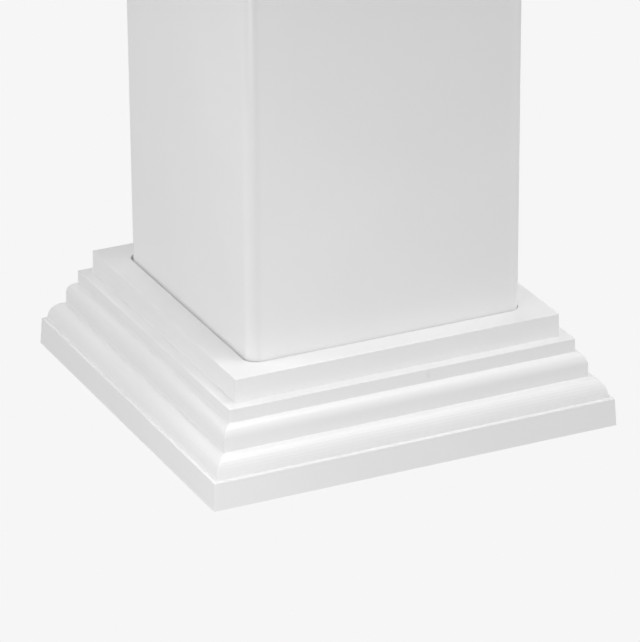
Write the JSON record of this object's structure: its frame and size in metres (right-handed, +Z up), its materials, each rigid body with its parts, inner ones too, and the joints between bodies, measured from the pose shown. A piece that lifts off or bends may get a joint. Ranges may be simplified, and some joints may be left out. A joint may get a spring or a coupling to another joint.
{
  "type": "column wrap",
  "caption": "Hollow square sleeve with rounded upright corners that boxes in a post, standing in a stepped moulded trim that covers its foot.",
  "frame": {"origin": "on the ground, at the centre of the trim's square footprint", "axes": "+Z up the column, -Y towards the front; the sleeve's faces and the trim's sides run along X and Y"},
  "size_m": [0.301, 0.301, 1],
  "materials": {
    "sleeve_white_vinyl": "satin",
    "trim_white_vinyl": "satin"
  },
  "bodies": {
    "root": {"column_sleeve": "sleeve_white_vinyl", "base_trim": "trim_white_vinyl"}
  },
  "joints": []
}
